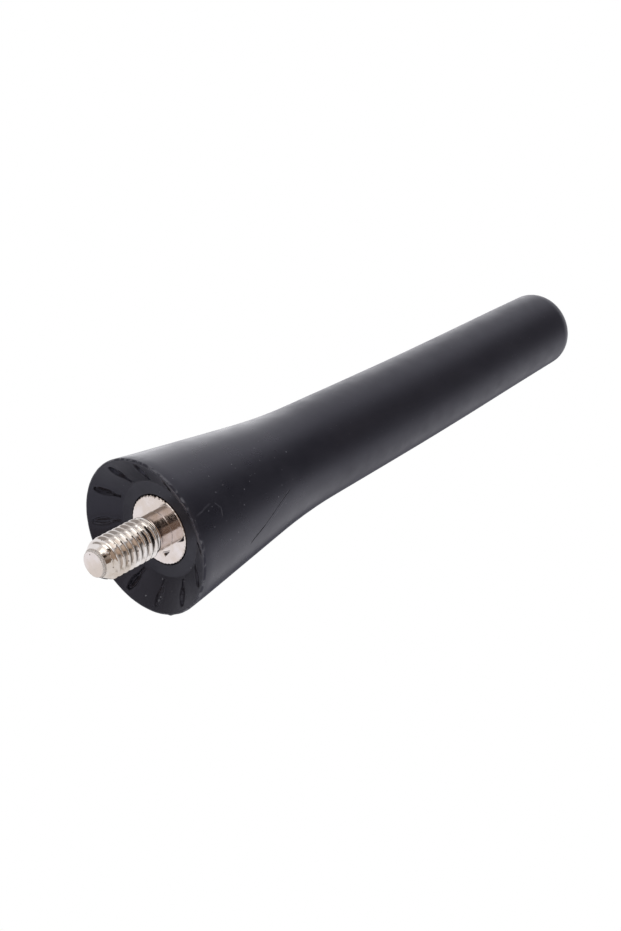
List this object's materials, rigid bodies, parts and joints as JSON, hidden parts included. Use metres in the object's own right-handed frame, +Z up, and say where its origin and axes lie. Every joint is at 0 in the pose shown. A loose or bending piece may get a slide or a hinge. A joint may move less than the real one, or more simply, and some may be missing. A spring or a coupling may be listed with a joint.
{
  "type": "car mast aerial",
  "caption": "Short screw-on car roof aerial: a flared rubber mast with a domed tip and a dished rim, on a threaded plated stud.",
  "frame": {"origin": "on the mast's axis in the plane of the skirt's rim, inside the thread's length", "axes": "+Z up the mast from rim to tip; the stud points along -Z; X points along the first leaf recess, less 0.8 degrees"},
  "size_m": [0.0226, 0.0226, 0.1025],
  "materials": {
    "black_rubber": "satin moulded rubber, lightly scuffed",
    "nickel_plate": "bright nickel plate on turned brass",
    "glass_fibre": "pultruded glass-fibre rod",
    "enamelled_copper": "enamelled copper wire",
    "solder": "soft solder",
    "shrink_tube": "black heat-shrink tube"
  },
  "bodies": {
    "root": {"threaded_stud": "nickel_plate", "core_rod": "glass_fibre", "aerial_winding": "enamelled_copper", "solder_joint": "solder", "shrink_sleeve": "shrink_tube", "rubber_sheath": "black_rubber"}
  },
  "joints": []
}
